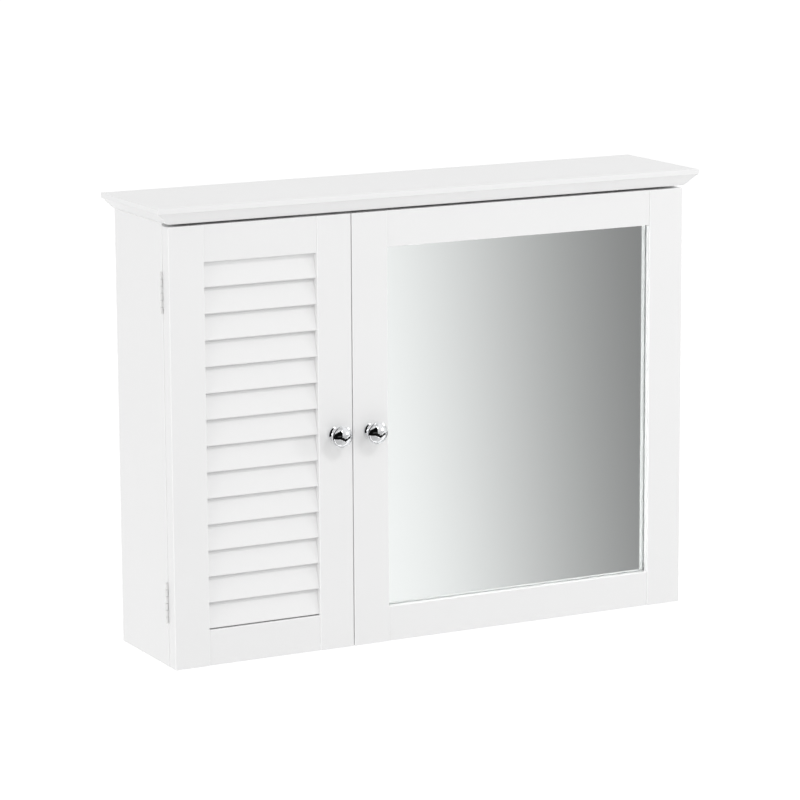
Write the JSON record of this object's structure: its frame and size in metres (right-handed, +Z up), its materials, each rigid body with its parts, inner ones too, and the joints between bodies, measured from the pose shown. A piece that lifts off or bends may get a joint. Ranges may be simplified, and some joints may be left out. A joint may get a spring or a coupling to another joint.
{
  "type": "bathroom mirror cabinet",
  "caption": "Wall-hung bathroom cabinet with a moulded cornice, a narrow louvred door and a wide framed mirror door on butt hinges, and shelves behind both.",
  "frame": {"origin": "midway between the two wall screw holes, on the wall's plane", "axes": "+X to the right as seen from the front, +Y into the wall, +Z up; the doors face -Y"},
  "size_m": [0.65, 0.1622, 0.491],
  "materials": {
    "white_paint": "satin white paint on board",
    "bare_board": "unpainted board",
    "mirror": "polished glass with silver behind it",
    "chrome": "polished chrome plate",
    "steel": "zinc-plated steel",
    "white_coat": "white-coated steel",
    "dark_steel": "die-cast zinc",
    "plastic": "white moulded plastic",
    "soft_pad": "soft clear pad"
  },
  "bodies": {
    "carcass": {"top_board": "white_paint", "side_panel_left": "white_paint", "side_panel_right": "white_paint", "bottom_panel": "white_paint", "partition": "white_paint", "back_panel": "bare_board", "hanging_rail": "white_paint", "shelf_left_lower": "white_paint", "shelf_left_upper": "white_paint", "shelf_right_lower": "white_paint", "shelf_right_upper": "white_paint", "shelf_pins": "steel", "cam_locks": "dark_steel", "cam_bolts": "dark_steel", "dowels": "bare_board", "back_panel_pins": "steel", "magnetic_catches": "plastic", "catch_magnets": "dark_steel", "carcass_hinge_leaves_left": "white_coat", "carcass_hinge_leaves_right": "white_coat", "hinge_pins": "steel", "carcass_screws": "steel"},
    "louvre_door": {"louvre_stile_hinge": "white_paint", "louvre_stile_knob": "white_paint", "louvre_rail_top": "white_paint", "louvre_rail_bottom": "white_paint", "slat_01": "white_paint", "slat_02": "white_paint", "slat_03": "white_paint", "slat_04": "white_paint", "slat_05": "white_paint", "slat_06": "white_paint", "slat_07": "white_paint", "slat_08": "white_paint", "slat_09": "white_paint", "slat_10": "white_paint", "slat_11": "white_paint", "slat_12": "white_paint", "slat_13": "white_paint", "slat_14": "white_paint", "louvre_door_hinge_leaves": "white_coat", "louvre_door_screws": "steel", "louvre_door_knob": "chrome", "louvre_knob_screw": "steel", "louvre_door_strike": "steel", "louvre_door_pads": "soft_pad"},
    "mirror_door": {"mirror_stile_knob": "white_paint", "mirror_stile_hinge": "white_paint", "mirror_rail_top": "white_paint", "mirror_rail_bottom": "white_paint", "mirror_glass": "mirror", "mirror_backing": "bare_board", "backing_clips": "steel", "mirror_door_hinge_leaves": "white_coat", "mirror_door_screws": "steel", "mirror_door_knob": "chrome", "mirror_knob_screw": "steel", "mirror_door_strike": "steel", "mirror_door_pads": "soft_pad"}
  },
  "joints": [
    {"name": "louvre_door_hinge", "type": "hinge", "parent": "carcass", "child": "louvre_door", "pos_m": [-0.3115, -0.1235, -0.208], "axis": [0, 0, -1], "range_deg": [0, 180]},
    {"name": "mirror_door_hinge", "type": "hinge", "parent": "carcass", "child": "mirror_door", "pos_m": [0.3115, -0.1235, -0.208], "axis": [0, 0, 1], "range_deg": [0, 180]}
  ]
}
